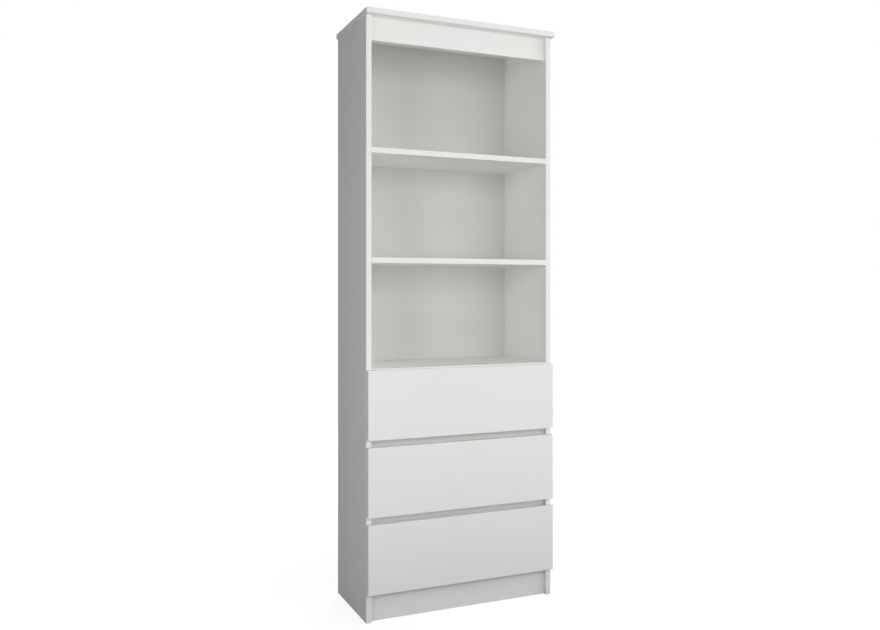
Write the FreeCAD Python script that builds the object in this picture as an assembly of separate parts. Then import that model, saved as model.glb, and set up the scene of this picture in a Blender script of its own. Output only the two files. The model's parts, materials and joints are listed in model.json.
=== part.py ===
import FreeCAD, Part
import math
import os

# A tall board bookcase: three open bays over three handleless drawers on roller runners.
# Millimetres, +Z up, front facing -Y, origin on the floor under the middle of the outline.

Vec = FreeCAD.Vector

# Boards
board = 16.0
back_thickness = 3.0
band_bevel = 0.6
proud_round = 1.2

# Carcass
carcass_width = 600.0
side_depth = 277.0
plinth_height = 80.0
plinth_recess = 13.0
lower_bay_height = 301.0
middle_bay_height = 297.0
upper_bay_height = 374.0
apron_height = 67.0
apron_recess = 13.0
top_side_overhang = 5.0
top_lip = 3.0
back_margin = 2.0

# Drawers, named from the top down
drawer_names = ("top", "middle", "bottom")
front_height = 198.0
front_thickness = 16.0
front_gap = 20.0
front_side_inset = 0.5
front_foot_gap = 2.0
front_standoff = 1.0
deck_lip = 4.0
grip_rail_height = 60.0
grip_rail_recess = 13.0
box_top_clearance = 13.0
box_rear_room = 23.0
box_base_thickness = 3.0
groove_depth = 7.0
groove_rise = 12.0
groove_clearance = 0.15
groove_end_clearance = 0.5

# Roller runners
runner_space = 12.5
runner_setback = 2.0
runner_rail_clearance = 2.6
sheet = 1.2
channel_height = 20.0
channel_width = 10.4
track_width = 9.9
tuck_width = 14.0
track_clearance = 1.0
top_flange_relief = 3.0
roller_radius = 10.0
roller_width = 6.0
roller_inset = 14.0
rear_roller_inset = 12.0
roller_clearance = 0.3
roller_side_gap = 0.7
pin_radius = 2.5
pin_clearance = 0.05
pin_head_radius = 3.6
pin_head_thickness = 0.7
stop_clearance = 0.5

# Fittings, drawn with few flats because they repeat
round_flat_count = 8
slim_flat_count = 6
hole_clearance = 0.1
cam_radius = 7.4
cam_depth = 12.4
cam_offset = 24.0
cam_setback = 60.0
top_rear_cam_setback = 127.0
bolt_radius = 3.0
bolt_bite = 11.0
bolt_head_radius = 4.2
bolt_head_length = 3.0
dowel_radius = 4.0
dowel_length = 30.0
dowel_bite = 11.0
top_dowel_setback = 60.0
case_screw_radius = 2.6
case_screw_length = 47.0
case_screw_head_radius = 4.6
case_screw_head_length = 3.0
dowel_shares = (0.25, 0.75)
box_dowel_share = 0.3
box_cam_share = 0.6

# Places worked out from the sizes above
inner_half = carcass_width / 2 - board
overall_depth = top_lip + front_thickness + front_standoff + side_depth + back_thickness
carcass_rear = overall_depth / 2 - back_thickness
carcass_front = carcass_rear - side_depth
front_rear = carcass_front - front_standoff
front_face = front_rear - front_thickness
top_front = front_face - top_lip
box_rear = carcass_rear - box_rear_room
box_half = inner_half - runner_space

front_pitch = front_height + front_gap
lowest_front = plinth_height + front_foot_gap
fronts_top = lowest_front + front_pitch * len(drawer_names) - front_gap
deck_top = fronts_top + deck_lip
middle_shelf_bottom = deck_top + lower_bay_height
upper_shelf_bottom = middle_shelf_bottom + board + middle_bay_height
side_height = upper_shelf_bottom + board + upper_bay_height
overall_height = side_height + board

# Heights inside one drawer, from the lower edge of its front
rail_over_edge = (grip_rail_height - front_gap) / 2
box_rise = rail_over_edge + runner_rail_clearance + sheet + sheet
box_top_rise = front_height - rail_over_edge - box_top_clearance
box_height = box_top_rise - box_rise

# Heights inside one runner, from the upper face of its bottom flange
rear_roller_radius = channel_height / 2 - roller_clearance
rear_roller_rise = channel_height / 2
track_rise = channel_height + sheet + track_clearance
front_roller_rise = track_rise - roller_clearance - roller_radius

cabinet_runner_front = carcass_front + runner_setback
cabinet_runner_rear = box_rear - runner_setback
drawer_runner_front = front_rear + runner_setback
drawer_runner_rear = box_rear - runner_setback - front_standoff
front_roller_y = cabinet_runner_front + roller_inset
rear_roller_y = drawer_runner_rear - rear_roller_inset
drawer_travel = rear_roller_y - front_roller_y - roller_radius - rear_roller_radius - stop_clearance

solids = {}
cuts = {}
sides = {"left": -1, "right": 1}


def add(node, shape):
    solids.setdefault(node, []).append(shape)


def cut(node, tool):
    cuts.setdefault(node, []).append(tool)


def block(x0, x1, y0, y1, z0, z1):
    corner = Vec(min(x0, x1), min(y0, y1), min(z0, z1))
    return Part.makeBox(abs(x1 - x0), abs(y1 - y0), abs(z1 - z0), corner)


def edges_on(shape, chosen):
    return [edge for edge in shape.Edges if chosen(edge.BoundBox)]


def lies_at(low, high, place):
    return abs(low - place) < band_bevel and abs(high - place) < band_bevel


def faceted(flats, radius, start, direction, length):
    # A prism whose flats lie at the radius, so that pin and hole stay parallel.
    corner_radius = radius / math.cos(math.pi / flats)
    corners = []
    for step in range(flats):
        angle = 2 * math.pi * (step + 1 / 2) / flats
        corners.append(Vec(corner_radius * math.cos(angle), corner_radius * math.sin(angle), 0))
    outline = Part.makePolygon(corners + corners[:1])
    prism = Part.Face(outline).extrude(Vec(0, 0, length))
    turn = FreeCAD.Rotation(Vec(0, 0, 1), direction)
    prism.Placement = FreeCAD.Placement(start, turn)
    return prism


def headed_pin(radius, length, head_radius, head_length, start, direction):
    # A shank with its head at the start point.
    shank = faceted(slim_flat_count, radius, start, direction, length)
    head = faceted(slim_flat_count, head_radius, start, direction, head_length)
    return shank.fuse(head).removeSplitter()


def dowel_joint(group, end_board, face_board, point, direction):
    # The point lies on the meeting face, and the direction goes into the face board.
    start = point - direction * (dowel_length - dowel_bite)
    add(group, faceted(slim_flat_count, dowel_radius, start, direction, dowel_length))
    hole_start = start - direction * hole_clearance
    hole_length = dowel_length + hole_clearance + hole_clearance
    hole = faceted(slim_flat_count, dowel_radius + hole_clearance, hole_start, direction, hole_length)
    cut(end_board, hole)
    cut(face_board, hole)


def cam_joint(group, end_board, face_board, point, direction, cam_axis):
    # A cam in a pocket of the end board draws in the head of a bolt that bites into the face board.
    centre = point - direction * cam_offset
    mouth = centre + cam_axis * (board / 2)
    head_start = centre - direction * (bolt_head_length / 2)
    head_path = cam_offset + bolt_head_length / 2
    add(group, headed_pin(bolt_radius, head_path + bolt_bite, bolt_head_radius, bolt_head_length,
                          head_start, direction))
    way_start = head_start - direction * hole_clearance
    way_in = faceted(slim_flat_count, bolt_head_radius + hole_clearance, way_start, direction,
                     head_path + hole_clearance)
    add(group, faceted(round_flat_count, cam_radius, mouth, -cam_axis, cam_depth).cut(way_in))
    cut(end_board, way_in)
    cut(end_board, faceted(round_flat_count, cam_radius + hole_clearance, mouth, -cam_axis,
                           cam_depth + hole_clearance))
    cut(face_board, faceted(slim_flat_count, bolt_radius + hole_clearance, point, direction,
                            bolt_bite + hole_clearance))


def case_screw_joint(drawer, side_node, start, direction):
    # A flush-headed screw through the drawer side into the end of the drawer back.
    add(drawer + "_drawer_case_screws", headed_pin(case_screw_radius, case_screw_length,
        case_screw_head_radius, case_screw_head_length, start, direction))
    hole = faceted(slim_flat_count, case_screw_radius + hole_clearance, start, direction,
                   case_screw_length + hole_clearance)
    sink = faceted(slim_flat_count, case_screw_head_radius + hole_clearance, start, direction,
                   case_screw_head_length)
    cut(side_node, hole)
    cut(side_node, sink)
    cut(drawer + "_drawer_back", hole)


def make_sides():
    for hand, sign in sides.items():
        outer = sign * carcass_width / 2
        panel = block(outer, sign * inner_half, carcass_front, carcass_rear, 0, side_height)
        band = edges_on(panel, lambda b: lies_at(b.YMin, b.YMax, carcass_front) and b.ZLength > board)
        add("side_panel_" + hand, panel.makeChamfer(band_bevel, band))


def make_top():
    half = carcass_width / 2 + top_side_overhang
    panel = block(-half, half, top_front, carcass_rear, side_height, overall_height)
    rim = edges_on(panel, lambda b: lies_at(b.ZMin, b.ZMax, overall_height)
                   and not lies_at(b.YMin, b.YMax, carcass_rear))
    panel = panel.makeFillet(proud_round, rim)
    under = edges_on(panel, lambda b: lies_at(b.ZMin, b.ZMax, side_height)
                     and not lies_at(b.YMin, b.YMax, carcass_rear))
    add("top_panel", panel.makeChamfer(band_bevel, under))
    for hand, sign in sides.items():
        end_board = "side_panel_" + hand
        middle_x = sign * (inner_half + board / 2)
        up = Vec(0, 0, 1)
        for cam_y in (carcass_front + cam_setback, carcass_rear - top_rear_cam_setback):
            cam_joint("carcass_cam_fittings", end_board, "top_panel", Vec(middle_x, cam_y, side_height),
                      up, Vec(-sign, 0, 0))
        dowel_y = carcass_rear - top_dowel_setback
        dowel_joint("carcass_dowels", end_board, "top_panel", Vec(middle_x, dowel_y, side_height), up)


def make_level_board(node, bottom):
    panel = block(-inner_half, inner_half, carcass_front, carcass_rear, bottom, bottom + board)
    band = edges_on(panel, lambda b: lies_at(b.YMin, b.YMax, carcass_front) and b.XLength > board)
    add(node, panel.makeChamfer(band_bevel, band))
    middle_z = bottom + board / 2
    for hand, sign in sides.items():
        face_board = "side_panel_" + hand
        outward = Vec(sign, 0, 0)
        for cam_y in (carcass_front + cam_setback, carcass_rear - cam_setback):
            cam_joint("carcass_cam_fittings", node, face_board, Vec(sign * inner_half, cam_y, middle_z),
                      outward, Vec(0, 0, -1))
        middle_y = (carcass_front + carcass_rear) / 2
        dowel_joint("carcass_dowels", node, face_board, Vec(sign * inner_half, middle_y, middle_z), outward)


def make_cross_rail(node, recess, bottom, height):
    front = carcass_front + recess
    add(node, block(-inner_half, inner_half, front, front + board, bottom, bottom + height))
    for hand, sign in sides.items():
        for share in dowel_shares:
            point = Vec(sign * inner_half, front + board / 2, bottom + share * height)
            dowel_joint("carcass_dowels", node, "side_panel_" + hand, point, Vec(sign, 0, 0))


def make_back():
    half = carcass_width / 2 - back_margin
    add("back_panel", block(-half, half, carcass_rear, carcass_rear + back_thickness,
                            plinth_height + back_margin, overall_height - back_margin))


def runner_section(points, front, rear, base):
    # Folded sheet: points are (out from the carcass side, up from the bottom flange).
    corners = [Vec(-inner_half + out, front, base + up) for out, up in points]
    outline = Part.makePolygon(corners + corners[:1])
    return Part.Face(outline).extrude(Vec(0, rear - front, 0))


def roller_wheel(radius, out, y, z):
    bore = pin_radius + pin_clearance
    place = Vec(-inner_half + out, y, z)
    tyre = Part.makeCylinder(radius, roller_width, place, Vec(1, 0, 0))
    return tyre.cut(Part.makeCylinder(bore, roller_width, place, Vec(1, 0, 0)))


def roller_pin(root, tip, y, z):
    # The pin is riveted to the sheet at its root and ends in a flat head.
    along = Vec(math.copysign(1, tip - root), 0, 0)
    flat_radius = pin_radius * math.cos(math.pi / round_flat_count)
    root_place = Vec(-inner_half + root, y, z)
    shank = faceted(round_flat_count, flat_radius, root_place, along, abs(tip - root))
    head_place = Vec(-inner_half + tip, y, z)
    return shank.fuse(faceted(round_flat_count, pin_head_radius, head_place, along, pin_head_thickness))


def mirrored(shape, sign):
    if sign < 0:
        return shape
    return shape.mirror(Vec(0, 0, 0), Vec(1, 0, 0))


def make_runners(drawer, box_bottom):
    base = box_bottom - sheet
    front_wheel_out = sheet + roller_side_gap
    rear_wheel_out = runner_space - sheet - roller_side_gap - roller_width
    channel = runner_section([(0, -sheet), (channel_width, -sheet), (channel_width, 0), (sheet, 0),
                              (sheet, channel_height), (channel_width, channel_height),
                              (channel_width, channel_height + sheet), (0, channel_height + sheet)],
                             cabinet_runner_front, cabinet_runner_rear, base)
    relief_rear = front_roller_y + roller_radius + top_flange_relief
    channel = channel.cut(block(-inner_half + sheet, -inner_half + runner_space, cabinet_runner_front,
                                relief_rear, base + channel_height, base + channel_height + sheet))
    front_z = base + front_roller_rise
    front_tip = front_wheel_out + roller_width + roller_clearance
    channel = channel.fuse(roller_pin(sheet, front_tip, front_roller_y, front_z)).removeSplitter()
    web_face = runner_space - sheet
    tuck_edge = runner_space + tuck_width
    angle = runner_section([(web_face, 0), (tuck_edge, 0), (tuck_edge, sheet),
                            (runner_space, sheet), (runner_space, track_rise + sheet),
                            (runner_space - track_width, track_rise + sheet),
                            (runner_space - track_width, track_rise), (web_face, track_rise)],
                           drawer_runner_front, drawer_runner_rear, base)
    rear_z = base + rear_roller_rise
    rear_tip = rear_wheel_out - roller_clearance
    angle = angle.fuse(roller_pin(web_face, rear_tip, rear_roller_y, rear_z)).removeSplitter()
    front_wheel = roller_wheel(roller_radius, front_wheel_out, front_roller_y, front_z)
    rear_wheel = roller_wheel(rear_roller_radius, rear_wheel_out, rear_roller_y, rear_z)
    for hand, sign in sides.items():
        cabinet_node = drawer + "_cabinet_runner_" + hand
        drawer_node = drawer + "_drawer_runner_" + hand
        add(cabinet_node, mirrored(channel, sign))
        add(drawer_node, mirrored(angle, sign))
        add(drawer + "_cabinet_rollers", mirrored(front_wheel, sign))
        add(drawer + "_drawer_rollers", mirrored(rear_wheel, sign))


def make_drawer_front(drawer, edge, box_bottom, base_half):
    half = carcass_width / 2 - front_side_inset
    panel = block(-half, half, front_face, front_rear, edge, edge + front_height)
    panel = panel.makeFillet(proud_round, edges_on(panel, lambda b: lies_at(b.YMin, b.YMax, front_face)))
    groove_half = base_half + groove_end_clearance
    groove_bottom = box_bottom + groove_rise - groove_clearance
    groove_top = box_bottom + groove_rise + box_base_thickness + groove_clearance
    groove = block(-groove_half, groove_half, front_rear - groove_depth, front_rear,
                   groove_bottom, groove_top)
    add(drawer + "_drawer_front", panel.cut(groove))


def make_drawer_box(drawer, edge):
    box_bottom = edge + box_rise
    box_top = box_bottom + box_height
    inside_half = box_half - board
    base_half = inside_half + groove_depth - groove_end_clearance
    base_bottom = box_bottom + groove_rise
    base_top = base_bottom + box_base_thickness
    back_bottom = base_top + groove_clearance
    make_drawer_front(drawer, edge, box_bottom, base_half)
    base_front = front_rear - groove_depth + groove_end_clearance
    add(drawer + "_drawer_base", block(-base_half, base_half, base_front, box_rear, base_bottom, base_top))
    add(drawer + "_drawer_back", block(-inside_half, inside_half, box_rear - board, box_rear,
                                       back_bottom, box_top))
    for hand, sign in sides.items():
        side_node = drawer + "_drawer_side_" + hand
        side = block(sign * box_half, sign * inside_half, front_rear, box_rear, box_bottom, box_top)
        band = edges_on(side, lambda b: lies_at(b.ZMin, b.ZMax, box_top) and b.YLength > board)
        side = side.makeChamfer(band_bevel, band)
        groove = block(sign * inside_half, sign * (inside_half + groove_depth), front_rear, box_rear,
                       base_bottom - groove_clearance, base_top + groove_clearance)
        add(side_node, side.cut(groove))
        middle_x = sign * (box_half - board / 2)
        ahead = Vec(0, -1, 0)
        cam_z = box_bottom + box_cam_share * box_height
        cam_joint(drawer + "_drawer_cam_fittings", side_node, drawer + "_drawer_front",
                  Vec(middle_x, front_rear, cam_z), ahead, Vec(-sign, 0, 0))
        dowel_joint(drawer + "_drawer_dowels", side_node, drawer + "_drawer_front",
                    Vec(middle_x, front_rear, box_bottom + box_dowel_share * box_height), ahead)
        for share in dowel_shares:
            height = back_bottom + share * (box_top - back_bottom)
            case_screw_joint(drawer, side_node, Vec(sign * box_half, box_rear - board / 2, height),
                             Vec(-sign, 0, 0))
    make_runners(drawer, box_bottom)


def make_carcass():
    make_sides()
    make_top()
    make_level_board("upper_shelf", upper_shelf_bottom)
    make_level_board("middle_shelf", middle_shelf_bottom)
    make_level_board("drawer_deck", deck_top - board)
    make_level_board("bottom_panel", plinth_height)
    make_cross_rail("top_apron", apron_recess, side_height - apron_height, apron_height)
    make_cross_rail("plinth_board", plinth_recess, 0, plinth_height)
    gap_names = ("upper_grip_rail", "lower_grip_rail")
    for step, node in enumerate(gap_names):
        gap_middle = fronts_top - front_height - front_gap / 2 - step * front_pitch
        make_cross_rail(node, grip_rail_recess, gap_middle - grip_rail_height / 2, grip_rail_height)
    make_back()


def make_drawers():
    for step, drawer in enumerate(drawer_names):
        make_drawer_box(drawer, fronts_top - front_height - step * front_pitch)


def export():
    os.makedirs("parts", exist_ok=True)
    for node, shapes in solids.items():
        pieces = [shape.cut(cuts[node]) if node in cuts else shape for shape in shapes]
        shape = pieces[0] if len(pieces) == 1 else Part.makeCompound(pieces)
        shape.exportStep("parts/" + node + ".step")
    print(len(solids), "nodes, drawer travel", round(drawer_travel, 2), "mm")


make_carcass()
make_drawers()
export()
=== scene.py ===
import bpy
import json
import math
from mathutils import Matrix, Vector

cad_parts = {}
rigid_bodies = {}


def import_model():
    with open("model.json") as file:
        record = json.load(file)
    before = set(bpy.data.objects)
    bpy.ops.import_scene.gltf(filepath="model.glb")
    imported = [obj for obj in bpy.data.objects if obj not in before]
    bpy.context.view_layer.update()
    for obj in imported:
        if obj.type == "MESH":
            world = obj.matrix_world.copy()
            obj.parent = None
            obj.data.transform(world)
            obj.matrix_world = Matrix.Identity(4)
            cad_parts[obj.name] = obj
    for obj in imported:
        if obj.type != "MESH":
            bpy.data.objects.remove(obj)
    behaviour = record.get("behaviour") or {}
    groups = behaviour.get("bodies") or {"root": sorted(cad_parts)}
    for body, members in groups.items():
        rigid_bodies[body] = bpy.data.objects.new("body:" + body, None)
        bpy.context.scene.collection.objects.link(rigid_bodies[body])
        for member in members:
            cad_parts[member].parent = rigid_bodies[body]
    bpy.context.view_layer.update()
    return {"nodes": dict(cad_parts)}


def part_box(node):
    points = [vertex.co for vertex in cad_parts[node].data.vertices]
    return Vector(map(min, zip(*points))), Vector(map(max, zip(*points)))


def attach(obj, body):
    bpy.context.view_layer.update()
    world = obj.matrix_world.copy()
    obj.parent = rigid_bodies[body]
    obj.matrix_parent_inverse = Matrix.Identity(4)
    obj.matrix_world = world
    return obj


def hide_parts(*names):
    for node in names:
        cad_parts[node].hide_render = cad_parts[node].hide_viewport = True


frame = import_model()
nodes = frame["nodes"]
mm = 0.001
drawers = ("top", "middle", "bottom")
hands = {"left": -1, "right": 1}
levelBoards = ("upper_shelf", "middle_shelf", "drawer_deck", "bottom_panel")
groups = {"carcass": "carcass"}  # how a piece's name starts, and the body that it rides on
for drawer in drawers:
    groups[drawer + "Drawer"] = drawer + "_drawer"
faceOn = 0.5  # a face looks along an axis where its normal goes further than this along it
print("frame loaded:", len(nodes), "CAD nodes")


# Materials

def linear(hexText):  # sRGB hex to a linear colour
    channels = [int(hexText[i:i + 2], 16) / 255 for i in (1, 3, 5)]
    return (*[c / 12.92 if c <= 0.04045 else ((c + 0.055) / 1.055) ** 2.4 for c in channels], 1)


def addNode(owner, kind, inputs=None, links=None, **settings):
    node = owner.node_tree.nodes.new(kind)
    for name, value in settings.items():
        setattr(node, name, value)
    for socket, value in (inputs or {}).items():
        node.inputs[socket].default_value = value
    for socket, source in (links or {}).items():
        owner.node_tree.links.new(source, node.inputs[socket])
    return node


def startMaterial(name, shine):  # a material, its shader and its place on the object in metres
    material = bpy.data.materials.new(name)
    material.use_nodes = True
    shader = material.node_tree.nodes["Principled BSDF"]
    for socket, value in shine.items():
        shader.inputs[socket].default_value = value
    place = addNode(material, "ShaderNodeTexCoord").outputs["Object"]
    return material, shader, place


def link(owner, source, socket):
    owner.node_tree.links.new(source, socket)


# Melamine-faced chipboard, pressed under a pearl-grained plate: an even satin white with a faint
# cloudiness, and a fine pebble that keeps reflections soft. The real pebble is about 0.4 mm, and it is
# drawn coarser so that it shows.
melamine = {"dark": "#f0f0ee", "light": "#f3f3f1", "rough": (0.58, 0.68), "pebbleMm": 1.2, "cloudMm": 230,
            "relief": 0.15, "reliefMm": 0.05}


def makeMelamine():
    shine = {"IOR": 1.46, "Specular IOR Level": 0.08}
    material, shader, place = startMaterial("pressedWhiteMelamine", shine)
    clouds = addNode(material, "ShaderNodeTexNoise", {"Scale": 1 / (melamine["cloudMm"] * mm), "Detail": 3},
                     {"Vector": place})
    dark, light = linear(melamine["dark"]), linear(melamine["light"])
    tone = addNode(material, "ShaderNodeMix", {"A": dark, "B": light}, {"Factor": clouds.outputs["Fac"]},
                   data_type="RGBA")
    low, high = melamine["rough"]
    satin = addNode(material, "ShaderNodeMapRange", {"To Min": low, "To Max": high},
                    {"Value": clouds.outputs["Fac"]})
    pebble = addNode(material, "ShaderNodeTexNoise",
                     {"Scale": 1 / (melamine["pebbleMm"] * mm), "Detail": 1}, {"Vector": place})
    relief = addNode(material, "ShaderNodeBump",
                     {"Strength": melamine["relief"], "Distance": melamine["reliefMm"] * mm},
                     {"Height": pebble.outputs["Fac"]})
    link(material, tone.outputs["Result"], shader.inputs["Base Color"])
    link(material, satin.outputs["Result"], shader.inputs["Roughness"])
    link(material, relief.outputs["Normal"], shader.inputs["Normal"])
    return material


# ABS edge band, extruded and buffed: a touch whiter and smoother than the faces, with a faint mottle.
edgeBand = {"dark": "#f1f1ef", "light": "#f4f4f2", "rough": (0.5, 0.6), "mottleMm": 1.6}


def makeEdgeBand():
    material, shader, place = startMaterial("extrudedAbsEdgeBand", {"IOR": 1.5, "Specular IOR Level": 0.12})
    mottle = addNode(material, "ShaderNodeTexNoise",
                     {"Scale": 1 / (edgeBand["mottleMm"] * mm), "Detail": 2}, {"Vector": place})
    dark, light = linear(edgeBand["dark"]), linear(edgeBand["light"])
    tone = addNode(material, "ShaderNodeMix", {"A": dark, "B": light}, {"Factor": mottle.outputs["Fac"]},
                   data_type="RGBA")
    low, high = edgeBand["rough"]
    buffed = addNode(material, "ShaderNodeMapRange", {"To Min": low, "To Max": high},
                     {"Value": mottle.outputs["Fac"]})
    link(material, tone.outputs["Result"], shader.inputs["Base Color"])
    link(material, buffed.outputs["Result"], shader.inputs["Roughness"])
    return material


# Three-layer chipboard, sawn: tan flakes with dark and pale chips, matt and rough with fine dust.
chipboard = {"tan": "#c2a177", "dark": "#8a6843", "pale": "#dcc79e", "flakeMm": 3.2, "dustMm": 0.8,
             "tanStop": 0.45, "relief": 0.5, "reliefMm": 0.3}


def makeChipboard():
    material, shader, place = startMaterial("sawnChipboard", {"IOR": 1.45, "Roughness": 0.9})
    flakes = addNode(material, "ShaderNodeTexVoronoi", {"Scale": 1 / (chipboard["flakeMm"] * mm)},
                     {"Vector": place})
    pick = addNode(material, "ShaderNodeSeparateColor", None, {"Color": flakes.outputs["Color"]})
    chips = addNode(material, "ShaderNodeValToRGB", None, {"Fac": pick.outputs["Red"]})
    chips.color_ramp.elements[0].color = linear(chipboard["dark"])
    chips.color_ramp.elements[1].color = linear(chipboard["pale"])
    chips.color_ramp.elements.new(chipboard["tanStop"]).color = linear(chipboard["tan"])
    dust = addNode(material, "ShaderNodeTexNoise", {"Scale": 1 / (chipboard["dustMm"] * mm), "Detail": 4},
                   {"Vector": place})
    blend = addNode(material, "ShaderNodeMix", {"B": linear(chipboard["tan"])},
                    {"Factor": dust.outputs["Fac"], "A": chips.outputs["Color"]}, data_type="RGBA")
    relief = addNode(material, "ShaderNodeBump",
                     {"Strength": chipboard["relief"], "Distance": chipboard["reliefMm"] * mm},
                     {"Height": dust.outputs["Fac"]})
    link(material, blend.outputs["Result"], shader.inputs["Base Color"])
    link(material, relief.outputs["Normal"], shader.inputs["Normal"])
    return material


# Hardboard, roller lacquered on its good face: a flatter white with a fine stipple, slightly greyer than
# the boards partly as painted shade for the backs of the bays.
lacquer = {"dark": "#e5e5e3", "light": "#e9e9e7", "rough": (0.52, 0.62), "stippleMm": 1.8, "cloudMm": 320,
           "relief": 0.12, "reliefMm": 0.05}


def makeLacquer():
    shine = {"IOR": 1.45, "Specular IOR Level": 0.1}
    material, shader, place = startMaterial("rollerLacqueredHardboard", shine)
    clouds = addNode(material, "ShaderNodeTexNoise", {"Scale": 1 / (lacquer["cloudMm"] * mm), "Detail": 2},
                     {"Vector": place})
    # the greyer tone of these two colours is partly painted shade for the backs of the bays
    dark, light = linear(lacquer["dark"]), linear(lacquer["light"])
    tone = addNode(material, "ShaderNodeMix", {"A": dark, "B": light}, {"Factor": clouds.outputs["Fac"]},
                   data_type="RGBA")
    stipple = addNode(material, "ShaderNodeTexNoise",
                      {"Scale": 1 / (lacquer["stippleMm"] * mm), "Detail": 1}, {"Vector": place})
    low, high = lacquer["rough"]
    satin = addNode(material, "ShaderNodeMapRange", {"To Min": low, "To Max": high},
                    {"Value": stipple.outputs["Fac"]})
    relief = addNode(material, "ShaderNodeBump",
                     {"Strength": lacquer["relief"], "Distance": lacquer["reliefMm"] * mm},
                     {"Height": stipple.outputs["Fac"]})
    link(material, tone.outputs["Result"], shader.inputs["Base Color"])
    link(material, satin.outputs["Result"], shader.inputs["Roughness"])
    link(material, relief.outputs["Normal"], shader.inputs["Normal"])
    return material


# Bare hardboard, hot pressed from steamed fibre: matt mid brown, clouded, flecked with darker fibres.
hardboard = {"dark": "#6f5336", "light": "#8f7150", "fleck": "#4d3a26", "cloudMm": 90, "fibreMm": 2.4,
             "fibreStretch": (1, 1, 0.35), "fleckRange": (0.58, 0.74), "relief": 0.25, "reliefMm": 0.1}


def makeHardboard():
    material, shader, place = startMaterial("hotPressedHardboard", {"IOR": 1.45, "Roughness": 0.78})
    clouds = addNode(material, "ShaderNodeTexNoise",
                     {"Scale": 1 / (hardboard["cloudMm"] * mm), "Detail": 5}, {"Vector": place})
    dark, light = linear(hardboard["dark"]), linear(hardboard["light"])
    tone = addNode(material, "ShaderNodeMix", {"A": dark, "B": light}, {"Factor": clouds.outputs["Fac"]},
                   data_type="RGBA")
    stretch = addNode(material, "ShaderNodeMapping", {"Scale": hardboard["fibreStretch"]},
                      {"Vector": place})
    fibres = addNode(material, "ShaderNodeTexNoise",
                     {"Scale": 1 / (hardboard["fibreMm"] * mm), "Detail": 4},
                     {"Vector": stretch.outputs["Vector"]})
    low, high = hardboard["fleckRange"]
    sparse = addNode(material, "ShaderNodeMapRange", {"From Min": low, "From Max": high},
                     {"Value": fibres.outputs["Fac"]})
    flecked = addNode(material, "ShaderNodeMix", {"B": linear(hardboard["fleck"])},
                      {"Factor": sparse.outputs["Result"], "A": tone.outputs["Result"]}, data_type="RGBA")
    relief = addNode(material, "ShaderNodeBump",
                     {"Strength": hardboard["relief"], "Distance": hardboard["reliefMm"] * mm},
                     {"Height": fibres.outputs["Fac"]})
    link(material, flecked.outputs["Result"], shader.inputs["Base Color"])
    link(material, relief.outputs["Normal"], shader.inputs["Normal"])
    return material


# Cold-rolled steel, folded and powder coated: smooth warm white with orange peel.
powderCoat = {"dark": "#e4e4e0", "light": "#ececea", "rough": (0.30, 0.42), "peelMm": 2.2,
              "relief": 0.3, "reliefMm": 0.06}


def makePowderCoat():
    material, shader, place = startMaterial("powderCoatedSteel", {"IOR": 1.5})
    peel = addNode(material, "ShaderNodeTexNoise", {"Scale": 1 / (powderCoat["peelMm"] * mm), "Detail": 1},
                   {"Vector": place})
    dark, light = linear(powderCoat["dark"]), linear(powderCoat["light"])
    tone = addNode(material, "ShaderNodeMix", {"A": dark, "B": light}, {"Factor": peel.outputs["Fac"]},
                   data_type="RGBA")
    low, high = powderCoat["rough"]
    gloss = addNode(material, "ShaderNodeMapRange", {"To Min": low, "To Max": high},
                    {"Value": peel.outputs["Fac"]})
    relief = addNode(material, "ShaderNodeBump",
                     {"Strength": powderCoat["relief"], "Distance": powderCoat["reliefMm"] * mm},
                     {"Height": peel.outputs["Fac"]})
    link(material, tone.outputs["Result"], shader.inputs["Base Color"])
    link(material, gloss.outputs["Result"], shader.inputs["Roughness"])
    link(material, relief.outputs["Normal"], shader.inputs["Normal"])
    return material


# Natural nylon, injection moulded: creamy and slightly waxy, with faint flow marks.
nylon = {"dark": "#d9d5c6", "light": "#e7e4d8", "rough": (0.32, 0.48), "flowMm": 5}


def makeNylon():
    material, shader, place = startMaterial("mouldedNylon", {"IOR": 1.53})
    flow = addNode(material, "ShaderNodeTexNoise", {"Scale": 1 / (nylon["flowMm"] * mm), "Detail": 3},
                   {"Vector": place})
    dark, light = linear(nylon["dark"]), linear(nylon["light"])
    tone = addNode(material, "ShaderNodeMix", {"A": dark, "B": light}, {"Factor": flow.outputs["Fac"]},
                   data_type="RGBA")
    low, high = nylon["rough"]
    waxy = addNode(material, "ShaderNodeMapRange", {"To Min": low, "To Max": high},
                   {"Value": flow.outputs["Fac"]})
    link(material, tone.outputs["Result"], shader.inputs["Base Color"])
    link(material, waxy.outputs["Result"], shader.inputs["Roughness"])
    return material


# Zinc alloy, die cast and tumbled: dull light grey metal with a grainy skin, its grain drawn coarser than
# the real one so that it shows.
castZinc = {"dark": "#9fa2a5", "light": "#b9bcbe", "rough": (0.36, 0.55), "grainMm": 0.9, "relief": 0.3,
            "reliefMm": 0.05}


def makeCastZinc():
    material, shader, place = startMaterial("dieCastZinc", {"Metallic": 1})
    grain = addNode(material, "ShaderNodeTexNoise", {"Scale": 1 / (castZinc["grainMm"] * mm), "Detail": 3},
                    {"Vector": place})
    dark, light = linear(castZinc["dark"]), linear(castZinc["light"])
    tone = addNode(material, "ShaderNodeMix", {"A": dark, "B": light}, {"Factor": grain.outputs["Fac"]},
                   data_type="RGBA")
    low, high = castZinc["rough"]
    dull = addNode(material, "ShaderNodeMapRange", {"To Min": low, "To Max": high},
                   {"Value": grain.outputs["Fac"]})
    relief = addNode(material, "ShaderNodeBump",
                     {"Strength": castZinc["relief"], "Distance": castZinc["reliefMm"] * mm},
                     {"Height": grain.outputs["Fac"]})
    link(material, tone.outputs["Result"], shader.inputs["Base Color"])
    link(material, dull.outputs["Result"], shader.inputs["Roughness"])
    link(material, relief.outputs["Normal"], shader.inputs["Normal"])
    return material


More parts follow.
